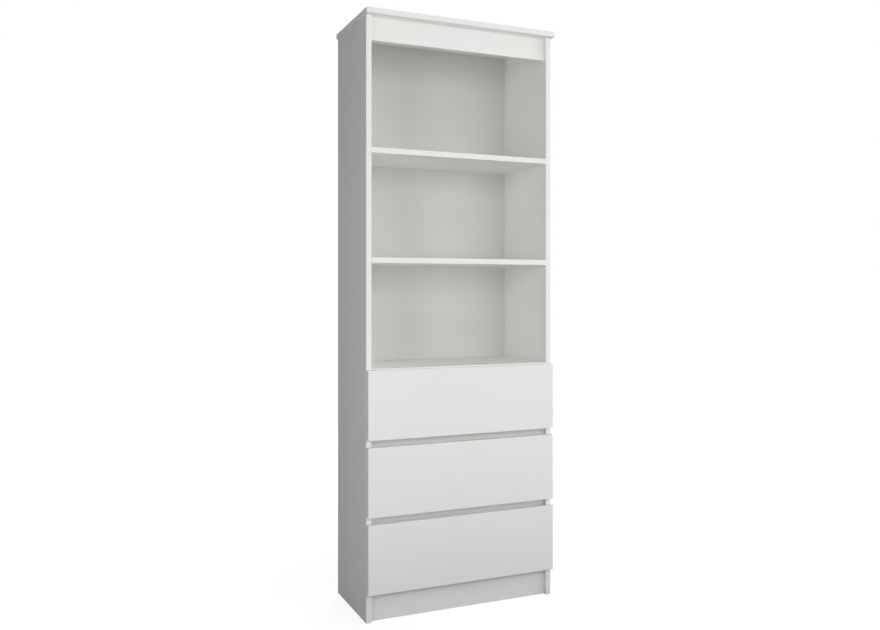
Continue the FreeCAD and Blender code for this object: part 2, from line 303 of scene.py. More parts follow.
# Mild steel, bright zinc plated: bluish silver with a slight straw tint in patches.
zincPlate = {"blue": "#c3c8cc", "straw": "#cfcab6", "rough": (0.22, 0.36), "patchMm": 3}


def makeZincPlate():
    material, shader, place = startMaterial("brightZincPlatedSteel", {"Metallic": 1})
    patches = addNode(material, "ShaderNodeTexNoise",
                      {"Scale": 1 / (zincPlate["patchMm"] * mm), "Detail": 2}, {"Vector": place})
    blue, straw = linear(zincPlate["blue"]), linear(zincPlate["straw"])
    tone = addNode(material, "ShaderNodeMix", {"A": blue, "B": straw}, {"Factor": patches.outputs["Fac"]},
                   data_type="RGBA")
    low, high = zincPlate["rough"]
    bright = addNode(material, "ShaderNodeMapRange", {"To Min": low, "To Max": high},
                     {"Value": patches.outputs["Fac"]})
    link(material, tone.outputs["Result"], shader.inputs["Base Color"])
    link(material, bright.outputs["Result"], shader.inputs["Roughness"])
    return material


# Beech, turned and fluted for dowels: pinkish tan with short dark flecks.
beech = {"light": "#d8b48a", "dark": "#b98b5e", "fleckMm": 0.9}


def makeBeech():
    material, shader, place = startMaterial("turnedBeech", {"IOR": 1.5, "Roughness": 0.6})
    flecks = addNode(material, "ShaderNodeTexNoise", {"Scale": 1 / (beech["fleckMm"] * mm), "Detail": 3},
                     {"Vector": place})
    dark, light = linear(beech["dark"]), linear(beech["light"])
    tone = addNode(material, "ShaderNodeMix", {"A": dark, "B": light}, {"Factor": flecks.outputs["Fac"]},
                   data_type="RGBA")
    link(material, tone.outputs["Result"], shader.inputs["Base Color"])
    return material


# Polythene, injection moulded for the cam covers: soft white, smoother than the board beside it.
polythene = {"dark": "#eeeeec", "light": "#f3f3f1", "rough": (0.36, 0.46), "flowMm": 6}


def makePolythene():
    material, shader, place = startMaterial("mouldedPolythene", {"IOR": 1.51})
    flow = addNode(material, "ShaderNodeTexNoise", {"Scale": 1 / (polythene["flowMm"] * mm), "Detail": 2},
                   {"Vector": place})
    dark, light = linear(polythene["dark"]), linear(polythene["light"])
    tone = addNode(material, "ShaderNodeMix", {"A": dark, "B": light}, {"Factor": flow.outputs["Fac"]},
                   data_type="RGBA")
    low, high = polythene["rough"]
    soft = addNode(material, "ShaderNodeMapRange", {"To Min": low, "To Max": high},
                   {"Value": flow.outputs["Fac"]})
    link(material, tone.outputs["Result"], shader.inputs["Base Color"])
    link(material, soft.outputs["Result"], shader.inputs["Roughness"])
    return material


boardFace = makeMelamine()
boardBand = makeEdgeBand()
boardSawn = makeChipboard()
sheetFace = makeLacquer()
sheetRaw = makeHardboard()
runnerCoat = makePowderCoat()
rollerNylon = makeNylon()
camZinc = makeCastZinc()
screwZinc = makeZincPlate()
dowelBeech = makeBeech()
capPolythene = makePolythene()
print("materials ready:", len(bpy.data.materials))


# Boards: white faces, banded edges where they show, sawn edges where they don't

directions = {"+x": (0, 1), "-x": (0, -1), "+y": (1, 1), "-y": (1, -1), "+z": (2, 1), "-z": (2, -1)}
boardEdges = {
    "side_panel_left": {"band": "-y", "sawn": "+y -z +z"},
    "side_panel_right": {"band": "-y", "sawn": "+y -z +z"},
    "top_panel": {"band": "-y -x +x", "sawn": "+y"},
    "top_apron": {"band": "-z", "sawn": "+z -x +x"},
    "plinth_board": {"band": "", "sawn": "+z -z -x +x"},
    "upper_grip_rail": {"band": "+z", "sawn": "-z -x +x"},
    "lower_grip_rail": {"band": "+z", "sawn": "-z -x +x"},
}
for name in levelBoards:
    boardEdges[name] = {"band": "-y", "sawn": "+y -x +x"}
for drawer in drawers:
    boardEdges[drawer + "_drawer_front"] = {"band": "-x +x -z +z", "sawn": ""}
    boardEdges[drawer + "_drawer_back"] = {"band": "+z", "sawn": "-z -x +x"}
    for hand in hands:
        boardEdges[f"{drawer}_drawer_side_{hand}"] = {"band": "+z", "sawn": "-z -y +y"}
edgeReach = {"depthMm": 1.3, "bandLean": 0.25, "sawnLean": 0.9}  # how near the outline, how square to it


def isEdge(face, box, words, lean):
    for word in words.split():
        axis, sign = directions[word]
        limit = box[1][axis] if sign > 0 else box[0][axis]
        near = abs(face.center[axis] - limit) < edgeReach["depthMm"] * mm
        if near and face.normal[axis] * sign > lean:
            return True
    return False


def dressBoards():
    for name, edges in boardEdges.items():
        mesh = nodes[name].data
        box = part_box(name)
        mesh.materials.clear()
        for material in (boardFace, boardBand, boardSawn):
            mesh.materials.append(material)
        for face in mesh.polygons:
            face.material_index = 0
            if isEdge(face, box, edges["band"], edgeReach["bandLean"]):
                face.material_index = 1
            elif isEdge(face, box, edges["sawn"], edgeReach["sawnLean"]):
                face.material_index = 2


def dressDrawerBases():
    for drawer in drawers:
        mesh = nodes[drawer + "_drawer_base"].data
        mesh.materials.clear()
        mesh.materials.append(sheetRaw)
        mesh.materials.append(sheetFace)
        for face in mesh.polygons:
            face.material_index = 1 if face.normal.z > faceOn else 0


dressBoards()
dressDrawerBases()
print("boards dressed:", len(boardEdges))


# Modelling helpers

turns = {"+x": (0, 0, 0), "-x": (0, 0, math.pi), "+y": (0, 0, math.pi / 2), "-y": (0, 0, -math.pi / 2),
         "+z": (0, -math.pi / 2, 0), "-z": (0, math.pi / 2, 0)}


def startPiece():
    if bpy.context.mode != "OBJECT":
        bpy.ops.object.mode_set(mode="OBJECT")
    bpy.ops.object.select_all(action="DESELECT")


def makeActive(piece):
    startPiece()
    piece.select_set(True)
    bpy.context.view_layer.objects.active = piece


def setPlace():  # puts the active object's place, turn and size into its mesh
    bpy.ops.object.transform_apply(location=True, rotation=True, scale=True)
    return bpy.context.object


def clearPick(piece, kind):  # selects nothing, and sets whether points, edges or faces come next
    makeActive(piece)
    bpy.ops.object.mode_set(mode="EDIT")
    bpy.ops.mesh.select_mode(type=kind)
    bpy.ops.mesh.select_all(action="DESELECT")
    bpy.ops.object.mode_set(mode="OBJECT")


def pickPoints(piece, wanted):  # leaves the piece in edit mode with those points selected
    clearPick(piece, "VERT")
    for vertex in piece.data.vertices:
        vertex.select = bool(wanted(vertex.co))
    bpy.ops.object.mode_set(mode="EDIT")


def pickEdges(piece, wanted):  # the same for edges, told by their two ends
    clearPick(piece, "EDGE")
    points = piece.data.vertices
    for edge in piece.data.edges:
        edge.select = bool(wanted(points[edge.vertices[0]].co, points[edge.vertices[1]].co))
    bpy.ops.object.mode_set(mode="EDIT")


def pickFaces(piece, wanted):  # the same for faces, told by the way they look
    clearPick(piece, "FACE")
    for face in piece.data.polygons:
        face.select = bool(wanted(face.normal))
    bpy.ops.object.mode_set(mode="EDIT")


def applyModifier(piece, kind, **settings):
    makeActive(piece)
    modifier = piece.modifiers.new(kind.lower(), kind)
    for name, value in settings.items():
        setattr(modifier, name, value)
    bpy.ops.object.modifier_apply(modifier=modifier.name)


def carve(piece, tool):
    applyModifier(piece, "BOOLEAN", operation="DIFFERENCE", object=tool, solver="EXACT")
    bpy.data.objects.remove(tool)


mergeMm = {"own": 0.0001, "cad": 0.01}  # points nearer than this are one, in a new piece or a CAD copy


def faceOutward(piece):
    makeActive(piece)
    bpy.ops.object.mode_set(mode="EDIT")
    bpy.ops.mesh.select_all(action="SELECT")
    bpy.ops.mesh.remove_doubles(threshold=mergeMm["own"] * mm)
    bpy.ops.mesh.normals_make_consistent(inside=False)
    bpy.ops.object.mode_set(mode="OBJECT")


softAngle = math.radians(35)  # edges that turn more than this are bevelled, or stay sharp to the eye


def smooth(piece):
    makeActive(piece)
    bpy.ops.object.shade_smooth_by_angle(angle=softAngle)


def soften(piece, widthMm, segments=2):
    applyModifier(piece, "BEVEL", width=widthMm * mm, segments=segments, limit_method="ANGLE",
                  angle_limit=softAngle)
    smooth(piece)


def turnPiece(steps, sides, material):  # a turned solid along X, from (place, radius) steps in mm
    startPiece()
    x, radius = steps[0]
    bpy.ops.mesh.primitive_circle_add(vertices=sides, radius=radius * mm, fill_type="NGON",
                                      location=(x * mm, 0, 0), rotation=(0, math.pi / 2, 0))
    piece = setPlace()
    bpy.ops.object.mode_set(mode="EDIT")
    bpy.ops.mesh.select_mode(type="FACE")
    bpy.ops.mesh.select_all(action="SELECT")
    for nextX, nextRadius in steps[1:]:
        bpy.ops.mesh.extrude_region_move(TRANSFORM_OT_translate={"value": ((nextX - x) * mm, 0, 0)})
        grow = nextRadius / radius
        bpy.ops.transform.resize(value=(1, grow, grow), center_override=(nextX * mm, 0, 0))
        x, radius = nextX, nextRadius
    faceOutward(piece)
    piece.data.materials.append(material)
    return piece


threadWind = {"ringsPerTurn": 8, "flankSlope": 2}  # how finely a thread is wound, how steep it is


def turnScrew(screw, material):  # a turned solid with a thread wound along part of it
    start, end = screw["threadMm"]
    pitch = screw["pitchMm"]
    rings = round((end - start) / pitch * threadWind["ringsPerTurn"])
    thread = [(start + (end - start) * ring / rings, screw["crestMm"]) for ring in range(rings + 1)]
    before = [step for step in screw["steps"] if step[0] < start]
    after = [step for step in screw["steps"] if step[0] > end]
    piece = turnPiece((*before, *thread, *after), screw["sides"], material)
    for vertex in piece.data.vertices:
        x = vertex.co.x / mm
        fade = min((x - start) / pitch, (end - x) / pitch, 1)  # the groove runs out at both ends
        if fade > 0:
            turned = (x / pitch - math.atan2(vertex.co.z, vertex.co.y) / (2 * math.pi)) % 1
            groove = min(threadWind["flankSlope"] * (1 - abs(2 * turned - 1)), 1)
            sink = 1 - screw["grooveShare"] * fade * groove
            vertex.co.y *= sink
            vertex.co.z *= sink
    return piece


def carveCross(piece, faceMm, lengthMm, widthMm, depthMm):  # a cross recess in a face that looks along +X
    for wide, high in ((lengthMm, widthMm), (widthMm, lengthMm)):
        startPiece()
        bpy.ops.mesh.primitive_cube_add(size=mm, location=(faceMm * mm, 0, 0),
                                        scale=(2 * depthMm, wide, high))
        carve(piece, setPlace())


def joinPieces(pieces, name):
    startPiece()
    for piece in pieces:
        piece.select_set(True)
    bpy.context.view_layer.objects.active = pieces[0]
    bpy.ops.object.join()
    piece = setPlace()
    piece.name = name
    return piece


def spread(master, places, name):  # copies at (point, direction), joined into one piece
    copies = []
    for point, direction in places:
        makeActive(master)
        bpy.ops.object.duplicate()
        copy = bpy.context.object
        copy.location = point
        copy.rotation_euler = turns[direction]
        copies.append(copy)
    return joinPieces(copies, name)


def outward(sign):
    return "+x" if sign > 0 else "-x"


# Back sheet: hardboard, lacquered inside, with the nails set in small dimples

backSheet = {"dimpleMm": 2.3, "dimpleTaperMm": 0.4, "dimpleDepthMm": 0.6, "edgeMm": 0.3, "sideNails": 9,
             "sideMarginMm": 90, "boardNailShares": (-0.5, 0, 0.5)}
backNail = {"steps": ((-19, 0.2), (-17.5, 0.75), (-0.65, 0.75), (-0.45, 1.75), (-0.15, 1.75), (-0.05, 1.1)),
            "sides": 16}


def nailPoints():
    low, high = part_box("back_panel")
    points = []
    span = high.z - low.z - 2 * backSheet["sideMarginMm"] * mm
    for hand in hands:
        sideLow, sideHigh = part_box("side_panel_" + hand)
        for step in range(backSheet["sideNails"]):
            height = low.z + backSheet["sideMarginMm"] * mm + span * step / (backSheet["sideNails"] - 1)
            points.append((((sideLow.x + sideHigh.x) / 2, high.y, height), "+y"))
    for name in (*levelBoards, "top_panel"):
        boardLow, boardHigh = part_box(name)
        for share in backSheet["boardNailShares"]:
            points.append(((share * high.x, high.y, (boardLow.z + boardHigh.z) / 2), "+y"))
    return points


def makeBackSheet():
    low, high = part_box("back_panel")
    startPiece()
    bpy.ops.mesh.primitive_cube_add(size=1, location=(low + high) / 2, scale=high - low)
    sheet = setPlace()
    sheet.name = "backSheet"
    soften(sheet, backSheet["edgeMm"])
    depth, radius, taper = backSheet["dimpleDepthMm"], backSheet["dimpleMm"], backSheet["dimpleTaperMm"]
    dimple = turnPiece(((-depth, radius - taper), (depth, radius + taper)), backNail["sides"], sheetRaw)
    tool = spread(dimple, nailPoints(), "nailDimples")
    bpy.data.objects.remove(dimple)
    sheet.data.materials.append(sheetRaw)
    sheet.data.materials.append(sheetFace)
    carve(sheet, tool)
    for face in sheet.data.polygons:
        face.material_index = 1 if face.normal.y < -faceOn else 0
    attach(sheet, "carcass")
    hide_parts("back_panel")
    master = turnPiece(backNail["steps"], backNail["sides"], screwZinc)
    smooth(master)
    nails = spread(master, nailPoints(), "backNails")
    bpy.data.objects.remove(master)
    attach(nails, "carcass")


makeBackSheet()
print("back sheet nailed:", len(nailPoints()), "nails")


# Cam fittings: a cam in each end board, the bolt that it draws in, and white covers on the carcass ones

cam = {"steps": ((-12.2, 6.6), (-11.6, 7.3), (0, 7.3), (0, 8.5), (0.35, 8.5), (0.55, 8.2), (0.55, 6.4),
                 (0.1, 6.1)),
       "sides": 48, "offsetMm": 24, "setbackMm": 60, "topRearSetbackMm": 127, "drawerShare": 0.6,
       "crossMm": (0.1, 8.4, 1.9, 3.2), "softMm": 0.12}
camBolt = {"steps": ((-1.4, 2.6), (-0.9, 4.0), (1.2, 4.0), (1.5, 2.4), (9, 2.4), (9.6, 2.9), (24, 2.9),
                     (24.4, 2.2), (25.2, 2.9), (33, 2.9), (34.8, 1.4)),
           "sides": 24, "threadMm": (25.2, 33), "pitchMm": 1.8, "crestMm": 2.9, "grooveShare": 0.25}
camCover = {"steps": ((-2.4, 3.0), (-2.2, 3.3), (0, 3.3), (0, 8.9), (0.55, 8.9), (0.95, 8.4), (1.1, 7.2),
                      (1.15, 3)),
            "sides": 48, "softMm": 0.1}


def carcassCams():  # (mouth of the cam, the way it faces, centre of the cam, the way its bolt goes)
    sideLow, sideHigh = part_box("side_panel_right")
    places = []
    offset = cam["offsetMm"] * mm
    setback = cam["setbackMm"] * mm
    for name in levelBoards:
        low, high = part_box(name)
        for sign in hands.values():
            for y in (low.y + setback, high.y - setback):
                x = sign * (high.x - offset)
                places.append(((x, y, low.z), "-z", (x, y, (low.z + high.z) / 2), outward(sign)))
    for sign in hands.values():
        for y in (sideLow.y + setback, sideHigh.y - cam["topRearSetbackMm"] * mm):
            z = sideHigh.z - offset
            middle = sign * (sideLow.x + sideHigh.x) / 2
            places.append(((sign * sideLow.x, y, z), outward(-sign), (middle, y, z), "+z"))
    return places


def drawerCams(body):  # the same for a drawer
    places = []
    for hand, sign in hands.items():
        low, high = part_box(f"{body}_side_{hand}")
        y = low.y + cam["offsetMm"] * mm
        z = low.z + cam["drawerShare"] * (high.z - low.z)
        inner = high.x if sign < 0 else low.x
        places.append(((inner, y, z), outward(-sign), ((low.x + high.x) / 2, y, z), "-y"))
    return places


def makeCams():
    head = turnPiece(cam["steps"], cam["sides"], camZinc)
    carveCross(head, *cam["crossMm"])
    soften(head, cam["softMm"], segments=1)
    bolt = turnScrew(camBolt, screwZinc)
    smooth(bolt)
    cover = turnPiece(camCover["steps"], camCover["sides"], capPolythene)
    soften(cover, camCover["softMm"])
    for name, body in groups.items():
        places = carcassCams() if body == "carcass" else drawerCams(body)
        mouths = [(mouth, facing) for mouth, facing, centre, way in places]
        cams = spread(head, mouths, name + "CamHeads")
        bolts = spread(bolt, [(centre, way) for mouth, facing, centre, way in places], name + "CamBolts")
        fitting = joinPieces([cams, bolts], name + "Cams")
        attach(fitting, body)
        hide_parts(body + "_cam_fittings")
    mouths = [(mouth, facing) for mouth, facing, centre, way in carcassCams()]
    covers = spread(cover, mouths, "carcassCamCovers")
    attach(covers, "carcass")
    for master in (head, bolt, cover):
        bpy.data.objects.remove(master)


makeCams()
print("cams fitted:", len(carcassCams()), "in the carcass, 2 in each drawer")


# Case screws: flat heads with hex sockets in the drawer sides

caseScrew = {"steps": ((-46.8, 0.5), (-43.5, 2.2), (-41, 2.55), (-3, 2.55), (-2.6, 4.5), (0, 4.5), (0, 5.6),
                       (0.3, 5.6), (0.5, 5.0)),
             "sides": 24, "socketSides": 6, "socketMm": 2.3, "socketDepthMm": 2.4, "insetMm": 8,
             "shares": (0.25, 0.75), "threadMm": (-41, -9), "pitchMm": 3, "crestMm": 2.55,
             "grooveShare": 0.3}


def caseScrewPoints(drawer):
    backLow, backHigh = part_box(drawer + "_drawer_back")
    points = []
    for hand, sign in hands.items():
        low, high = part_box(f"{drawer}_drawer_side_{hand}")
        outer = low.x if sign < 0 else high.x
        for share in caseScrew["shares"]:
            z = backLow.z + share * (backHigh.z - backLow.z)
            points.append(((outer, high.y - caseScrew["insetMm"] * mm, z), outward(sign)))
    return points


def makeCaseScrews():
    master = turnScrew(caseScrew, screwZinc)
    depth, radius = caseScrew["socketDepthMm"], caseScrew["socketMm"]
    socket = turnPiece(((-depth, radius), (depth, radius)), caseScrew["socketSides"], screwZinc)
    carve(master, socket)
    smooth(master)
    for drawer in drawers:
        screws = spread(master, caseScrewPoints(drawer), drawer + "DrawerCaseScrews")
        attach(screws, drawer + "_drawer")
        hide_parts(drawer + "_drawer_case_screws")
    bpy.data.objects.remove(master)


makeCaseScrews()
print("case screws set")


# Dowels: fluted beech pegs with chamfered ends, where the CAD pegs are

dowel = {"radiusMm": 4.0, "lengthMm": 30, "chamferMm": 1.5, "tipMm": 3.2, "flutes": 20, "fluteShare": 0.93}


def dowelPlaces(node):  # middle and direction of each peg, from the loose parts of a copy of the CAD node
    before = set(bpy.data.objects)
    makeActive(nodes[node])
    bpy.ops.object.duplicate()
    bpy.ops.object.mode_set(mode="EDIT")
    bpy.ops.mesh.select_all(action="SELECT")
    bpy.ops.mesh.remove_doubles(threshold=mergeMm["cad"] * mm)
    bpy.ops.mesh.separate(type="LOOSE")
    bpy.ops.object.mode_set(mode="OBJECT")
    places = []
    for peg in [piece for piece in bpy.data.objects if piece not in before]:
        points = [vertex.co for vertex in peg.data.vertices]
        low = Vector([min(point[axis] for point in points) for axis in range(3)])
        high = Vector([max(point[axis] for point in points) for axis in range(3)])
        size = list(high - low)
        places.append(((low + high) / 2, ("+x", "+y", "+z")[size.index(max(size))]))
        bpy.data.objects.remove(peg)
    return places


def makeDowel():
    half = dowel["lengthMm"] / 2
    shoulder = half - dowel["chamferMm"]
    sides = 2 * dowel["flutes"]
    steps = ((-half, dowel["tipMm"]), (-shoulder, dowel["radiusMm"]), (shoulder, dowel["radiusMm"]),
             (half, dowel["tipMm"]))
    peg = turnPiece(steps, sides, dowelBeech)

    def inFlute(point):  # every other line of points along the peg
        return round(math.atan2(point.z, point.y) * sides / (2 * math.pi)) % 2 == 1

    pickPoints(peg, inFlute)
    share = dowel["fluteShare"]
    bpy.ops.transform.resize(value=(1, share, share), center_override=(0, 0, 0))
    bpy.ops.object.mode_set(mode="OBJECT")
    smooth(peg)
    return peg


def makeDowels():
    master = makeDowel()
    for name, body in groups.items():
        pegs = spread(master, dowelPlaces(body + "_dowels"), name + "Dowels")
        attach(pegs, body)
        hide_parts(body + "_dowels")
    bpy.data.objects.remove(master)


makeDowels()
print("dowels driven")


# Roller runners: folded sheet with rounded bends, riveted pins and pan-head screws

runner = {"sheetMm": 1.2, "bendMm": 1.5, "bendSteps": 4, "reliefMm": 3, "holeMm": 2.6, "holeReachMm": 4,
          "holeSides": 24, "holeShares": (0.36, 0.55), "screwShares": (0.19, 0.8),
          "tuckScrewShares": (0.14, 0.5, 0.82), "tuckScrewInMm": 7.2}
rollerPin = {"rootMm": 0.4, "rootGapMm": 0.45, "collarMm": 4.2, "radiusMm": 2.42, "headMm": 3.9,
             "headThickMm": 0.6, "domeMm": 0.95, "domeTopMm": 2.4, "sides": 32, "wheelWidthMm": 6,
             "playMm": 0.3}
panScrew = {"steps": ((-12, 0.3), (-10, 1.7), (0, 1.7), (0, 3.5), (0.7, 3.5), (1.25, 3.0), (1.55, 2.1),
                      (1.65, 1)),
            "sides": 24, "crossMm": (1.65, 3.6, 0.8, 0.9), "threadMm": (-10, -1), "pitchMm": 1.4,
            "crestMm": 1.7, "grooveShare": 0.3}


def flatWeb(height, length):  # the upright web of a runner, in metres, as a flat face in the YZ plane
    startPiece()
    bpy.ops.mesh.primitive_plane_add(size=1, rotation=(0, math.pi / 2, 0))
    bpy.context.object.scale = (height, length, 1)
    return setPlace()


def makePin(lengthMm):  # from the sheet's face at 0 to the rivet head, along +X
    gap, collar, radius = rollerPin["rootGapMm"], rollerPin["collarMm"], rollerPin["radiusMm"]
    head, thick, dome = rollerPin["headMm"], rollerPin["headThickMm"], rollerPin["domeMm"]
    steps = ((-rollerPin["rootMm"], collar), (gap, collar), (gap, radius), (lengthMm, radius),
             (lengthMm, head), (lengthMm + thick, head), (lengthMm + dome, rollerPin["domeTopMm"]))
    pin = turnPiece(steps, rollerPin["sides"], screwZinc)
    smooth(pin)
    return pin


def spareHoles(web, places):  # spare screw holes through the middle of a web, at these places along it
    reach, radius = runner["holeReachMm"], runner["holeMm"]
    for y in places:
        tool = turnPiece(((-reach, radius), (reach, radius)), runner["holeSides"], runnerCoat)
        tool.location = (0, y, 0)
        makeActive(tool)
        carve(web, setPlace())


def makeCabinetRunner():  # the left channel, with its web's middle plane at X = 0
    low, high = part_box("top_cabinet_runner_left")
    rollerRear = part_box("top_cabinet_rollers")[1].y
    sheet = runner["sheetMm"] * mm
    half = (high.z - low.z - sheet) / 2
    length = high.y - low.y
    middle = Vector((low.x + sheet / 2, (low.y + high.y) / 2, (low.z + high.z) / 2))
    channel = flatWeb(2 * half, length)
    flange = high.x - low.x - sheet / 2
    relief = rollerRear + runner["reliefMm"] * mm - middle.y  # the upper flange starts behind the roller
    makeActive(channel)
    bpy.ops.object.mode_set(mode="EDIT")
    bpy.ops.mesh.select_all(action="SELECT")
    bpy.ops.mesh.bisect(plane_co=(0, relief, 0), plane_no=(0, 1, 0))
    near = sheet / 4  # well within the sheet's thickness

    def onTop(a, b):
        return min(a.z, b.z) > half - near and (a.y + b.y) / 2 > relief

    def below(a, b):
        return max(a.z, b.z) < near - half

    for wanted in (onTop, below):
        pickEdges(channel, lambda a, b: max(a.x, b.x) < near and wanted(a, b))
        bpy.ops.mesh.extrude_region_move(TRANSFORM_OT_translate={"value": (flange, 0, 0)})
    pickEdges(channel, lambda a, b: max(a.x, b.x) < near and (onTop(a, b) or below(a, b)))
    bpy.ops.mesh.bevel(offset=runner["bendMm"] * mm, segments=runner["bendSteps"], affect="EDGES")
    faceOutward(channel)
    applyModifier(channel, "SOLIDIFY", thickness=sheet, offset=0, use_even_offset=True)
    channel.data.materials.append(runnerCoat)
    spareHoles(channel, [share * length - length / 2 for share in runner["holeShares"]])
    smooth(channel)
    return channel, middle


# The left angle: its web, a track flange towards the carcass and a tuck flange under the drawer side
def makeDrawerRunner():
    low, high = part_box("top_drawer_runner_left")
    sheet = runner["sheetMm"] * mm
    half = (high.z - low.z - sheet) / 2
    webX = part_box("top_drawer_side_left")[0].x - sheet / 2
    middle = Vector((webX, (low.y + high.y) / 2, (low.z + high.z) / 2))
    angle = flatWeb(2 * half, high.y - low.y)
    near = sheet / 4  # as in the channel
    pickEdges(angle, lambda a, b: min(a.z, b.z) > half - near)
    bpy.ops.mesh.extrude_region_move(TRANSFORM_OT_translate={"value": (low.x - webX, 0, 0)})
    pickEdges(angle, lambda a, b: max(a.z, b.z) < near - half)
    bpy.ops.mesh.extrude_region_move(TRANSFORM_OT_translate={"value": (high.x - webX, 0, 0)})
    pickEdges(angle, lambda a, b: max(abs(a.x), abs(b.x)) < near and abs(a.z - b.z) < near)
    bpy.ops.mesh.bevel(offset=runner["bendMm"] * mm, segments=runner["bendSteps"], affect="EDGES")
    faceOutward(angle)
    applyModifier(angle, "SOLIDIFY", thickness=sheet, offset=0, use_even_offset=True)
    angle.data.materials.append(runnerCoat)
    smooth(angle)
    return angle, middle


def copyRunner(master, place, sign, name):  # a copy at its place, mirrored for the right side
    makeActive(master)
    bpy.ops.object.duplicate()
    copy = bpy.context.object
    copy.location = (place.x if sign < 0 else -place.x, place.y, place.z)
    copy.scale = (-sign, 1, 1)
    piece = setPlace()
    faceOutward(piece)
    piece.name = name
    return piece


def makeRunners():
    channel, channelPlace = makeCabinetRunner()
    angle, anglePlace = makeDrawerRunner()
    sheet = runner["sheetMm"] * mm
    play = rollerPin["playMm"]
    frontLow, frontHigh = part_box("top_cabinet_rollers")
    rearLow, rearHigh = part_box("top_drawer_rollers")
    frontPin = makePin((frontLow.x - channelPlace.x - sheet / 2) / mm + rollerPin["wheelWidthMm"] + play)
    frontPin.location = (sheet / 2, (frontLow.y + frontHigh.y) / 2 - channelPlace.y,
                         (frontLow.z + frontHigh.z) / 2 - channelPlace.z)
    channel = joinPieces([channel, frontPin], "cabinetRunner")
    rearPin = makePin((anglePlace.x - sheet / 2 - rearLow.x) / mm + play)
    rearPin.rotation_euler = turns["-x"]
    rearPin.location = (-sheet / 2, (rearLow.y + rearHigh.y) / 2 - anglePlace.y,
                        (rearLow.z + rearHigh.z) / 2 - anglePlace.z)
    angle = joinPieces([angle, rearPin], "drawerRunner")
    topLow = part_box("top_cabinet_runner_left")[0].z
    for drawer in drawers:
        drop = Vector((0, 0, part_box(drawer + "_cabinet_runner_left")[0].z - topLow))
        for hand, sign in hands.items():
            fixed = copyRunner(channel, channelPlace + drop, sign, f"{drawer}CabinetRunner{hand.title()}")
            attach(fixed, "carcass")
            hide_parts(f"{drawer}_cabinet_runner_{hand}")
            moving = copyRunner(angle, anglePlace + drop, sign, f"{drawer}DrawerRunner{hand.title()}")
            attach(moving, drawer + "_drawer")
            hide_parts(f"{drawer}_drawer_runner_{hand}")
    bpy.data.objects.remove(channel)
    bpy.data.objects.remove(angle)


def makeRunnerScrews():
    master = turnScrew(panScrew, screwZinc)
    carveCross(master, *panScrew["crossMm"])
    smooth(master)
    sheet = runner["sheetMm"] * mm
    tuck = runner["tuckScrewInMm"] * mm
    for drawer in drawers:
        fixed = []
        moving = []
        for hand, sign in hands.items():
            low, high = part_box(f"{drawer}_cabinet_runner_{hand}")
            x = low.x + sheet if sign < 0 else high.x - sheet
            z = (low.z + high.z) / 2
            for share in runner["screwShares"]:
                fixed.append(((x, low.y + share * (high.y - low.y), z), outward(-sign)))
            low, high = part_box(f"{drawer}_drawer_runner_{hand}")
            x = high.x - tuck if sign < 0 else low.x + tuck
            for share in runner["tuckScrewShares"]:
                moving.append(((x, low.y + share * (high.y - low.y), low.z), "-z"))
        screws = spread(master, fixed, drawer + "CabinetRunnerScrews")
        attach(screws, "carcass")
        screws = spread(master, moving, drawer + "DrawerRunnerScrews")
        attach(screws, drawer + "_drawer")
    bpy.data.objects.remove(master)


makeRunners()
makeRunnerScrews()
print("runners hung")


# Nylon rollers: a rounded tread, a thin recessed web and a hub

roller = {"rimMm": 1.7, "draftMm": 0.25, "recessMm": 1.4, "hubMm": 4.6, "boreMm": 2.6, "softMm": 0.28,
          "sides": 64}


def makeRoller(radius, width):  # a roller in metres, on the X axis
    startPiece()
    bpy.ops.mesh.primitive_cylinder_add(vertices=roller["sides"], radius=radius, depth=width,
                                        rotation=(0, math.pi / 2, 0))
    wheel = setPlace()
    draft = roller["draftMm"] * mm
    hollow = radius - (roller["rimMm"] + roller["hubMm"]) * mm - 2 * draft
    pickFaces(wheel, lambda normal: abs(normal.x) > faceOn)
    bpy.ops.mesh.inset(thickness=roller["rimMm"] * mm)
    bpy.ops.mesh.inset(thickness=draft, depth=-roller["recessMm"] * mm)
    bpy.ops.mesh.inset(thickness=hollow)
    bpy.ops.mesh.inset(thickness=draft, depth=roller["recessMm"] * mm)
    bpy.ops.mesh.inset(thickness=(roller["hubMm"] - roller["boreMm"]) * mm)
    bpy.ops.mesh.bridge_edge_loops()
    bpy.ops.object.mode_set(mode="OBJECT")
    wheel.data.materials.append(rollerNylon)
    soften(wheel, roller["softMm"])
    return wheel


def makeRollers():
    ends = {"Front": ("_cabinet_rollers", "_front_rollers"), "Rear": ("_drawer_rollers", "_rear_rollers")}
    width = rollerPin["wheelWidthMm"] * mm
    for end, (nodeEnding, bodyEnding) in ends.items():
        low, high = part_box("top" + nodeEnding)
        master = makeRoller((high.z - low.z) / 2, width)
        for drawer in drawers:
            low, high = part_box(drawer + nodeEnding)
            middle = (low + high) / 2
            places = [((sign * (high.x - width / 2), middle.y, middle.z), "+x") for sign in hands.values()]
            pair = spread(master, places, f"{drawer}{end}Rollers")
            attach(pair, drawer + bodyEnding)
            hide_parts(drawer + nodeEnding)
        bpy.data.objects.remove(master)


makeRollers()
print("rollers fitted")


# Studio: white background for the camera, with a floor that still takes the shadow. The floor's radius and
# the reach of its lift, and the lamps and the camera below, are in metres.

studio = {"floorRadius": 14.0, "floorSides": 96, "floorDropMm": 0.4, "floorColour": "#808080",
          "lift": (0.86, 1.0), "liftReach": (0.5, 1.8), "ambient": 0.1}
pureWhite = (1, 1, 1, 1)


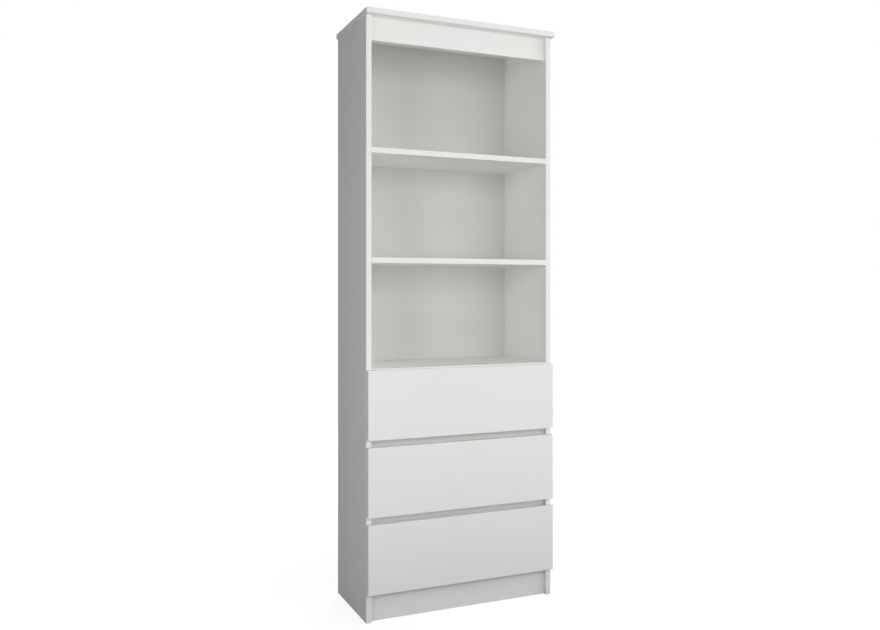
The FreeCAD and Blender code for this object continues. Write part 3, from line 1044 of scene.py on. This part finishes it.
def seenRays(owner):  # 1 for camera, glossy and transmission rays
    rays = addNode(owner, "ShaderNodeLightPath")
    first = addNode(owner, "ShaderNodeMath", None,
                    {0: rays.outputs["Is Camera Ray"], 1: rays.outputs["Is Glossy Ray"]},
                    operation="MAXIMUM")
    seen = addNode(owner, "ShaderNodeMath", None,
                   {0: first.outputs[0], 1: rays.outputs["Is Transmission Ray"]}, operation="MAXIMUM")
    return seen.outputs[0]


def makeFloor():
    startPiece()
    bpy.ops.mesh.primitive_circle_add(vertices=studio["floorSides"], radius=studio["floorRadius"],
                                      fill_type="NGON", location=(0, 0, -studio["floorDropMm"] * mm))
    floor = setPlace()
    floor.name = "studioFloor"
    material, shader, place = startMaterial("paintedStudioFloor", {"Roughness": 1, "Specular IOR Level": 0})
    shader.inputs["Base Color"].default_value = linear(studio["floorColour"])
    shader.inputs["Emission Color"].default_value = pureWhite
    away = addNode(material, "ShaderNodeVectorMath", None, {0: place}, operation="LENGTH")
    near, far = studio["liftReach"]
    low, high = studio["lift"]
    whiter = addNode(material, "ShaderNodeMapRange",
                     {"From Min": near, "From Max": far, "To Min": low, "To Max": high},
                     {"Value": away.outputs["Value"]})
    lift = addNode(material, "ShaderNodeMath", None, {0: seenRays(material), 1: whiter.outputs["Result"]},
                   operation="MULTIPLY")
    link(material, lift.outputs[0], shader.inputs["Emission Strength"])
    floor.data.materials.append(material)


def makeWorld():
    world = bpy.data.worlds.new("whiteStudio")
    world.use_nodes = True
    bpy.context.scene.world = world
    dim = world.node_tree.nodes["Background"]
    dim.inputs["Color"].default_value = pureWhite
    dim.inputs["Strength"].default_value = studio["ambient"]
    white = addNode(world, "ShaderNodeBackground", {"Color": pureWhite, "Strength": 1})
    mixed = addNode(world, "ShaderNodeMixShader", None,
                    {"Fac": seenRays(world), 1: dim.outputs[0], 2: white.outputs[0]})
    link(world, mixed.outputs[0], world.node_tree.nodes["World Output"].inputs["Surface"])


# Soft boxes: three in front, one high over the front, two on the left and one on the right, two behind that
# leave the front alone, and a sheet on the floor that lifts the undersides of the shelves
lamps = {
    "frontRight": {"place": (1.6, -3.2, 1.4), "size": (1.8, 1.8), "watts": 25},
    "frontCentre": {"place": (0.0, -3.6, 1.4), "size": (1.8, 1.8), "watts": 15},
    "frontHigh": {"place": (0.0, -3.4, 2.6), "size": (1.8, 1.8), "watts": 9},
    "overFront": {"place": (0.2, -1.5, 3.2), "size": (2.4, 1.0), "watts": 8.5, "aim": (0, 0, 0.9)},
    "leftSide": {"place": (-2.4, -1.7, 1.2), "size": (1.4, 1.4), "watts": 19},
    "leftStrip": {"place": (-1.1, -0.9, 0.8), "size": (0.4, 2.0), "watts": 1.4},
    "rightSide": {"place": (3.0, -1.2, 1.4), "size": (1.8, 1.8), "watts": 42},
    "floorSheet": {"place": (0.0, -1.4, 0.02), "size": (2.4, 1.2), "watts": 6.8, "aim": (0, -1.4, 1)},
    "overRear": {"place": (0.0, 0.6, 4.0), "size": (0.6, 0.6), "watts": 30, "aim": (0, 0.2, 1.7)},
    "rear": {"place": (0.9, 3.2, 1.4), "size": (1.8, 1.8), "watts": 50},
}
lampAim = (0, 0, 1.0)


def makeLamps():
    for name, lamp in lamps.items():
        startPiece()
        bpy.ops.object.light_add(type="AREA", location=lamp["place"])
        light = bpy.context.object
        light.name = name
        light.data.shape = "RECTANGLE"
        light.data.size, light.data.size_y = lamp["size"]
        light.data.energy = lamp["watts"]
        light.visible_camera = False
        towards = Vector(lamp.get("aim", lampAim)) - light.location
        light.rotation_euler = towards.to_track_quat("-Z", "Y").to_euler()


# The photograph's camera, level, with the shift that its framing needs
view = {"place": (-1.083, -2.4793, 0.9461), "turn": -23.66, "sensor": 36, "lens": 35.68,
        "shift": (-0.0068, -0.0293)}


def makeCamera():
    startPiece()
    bpy.ops.object.camera_add(location=view["place"], rotation=(math.pi / 2, 0, math.radians(view["turn"])))
    camera = bpy.context.object
    camera.name = "photoView"
    camera.data.sensor_width = view["sensor"]
    camera.data.lens = view["lens"]
    camera.data.shift_x, camera.data.shift_y = view["shift"]
    bpy.context.scene.camera = camera


bpy.context.scene.view_settings.view_transform = "Standard"
makeFloor()
makeWorld()
makeLamps()
makeCamera()
print("studio ready:", len(lamps), "soft boxes")
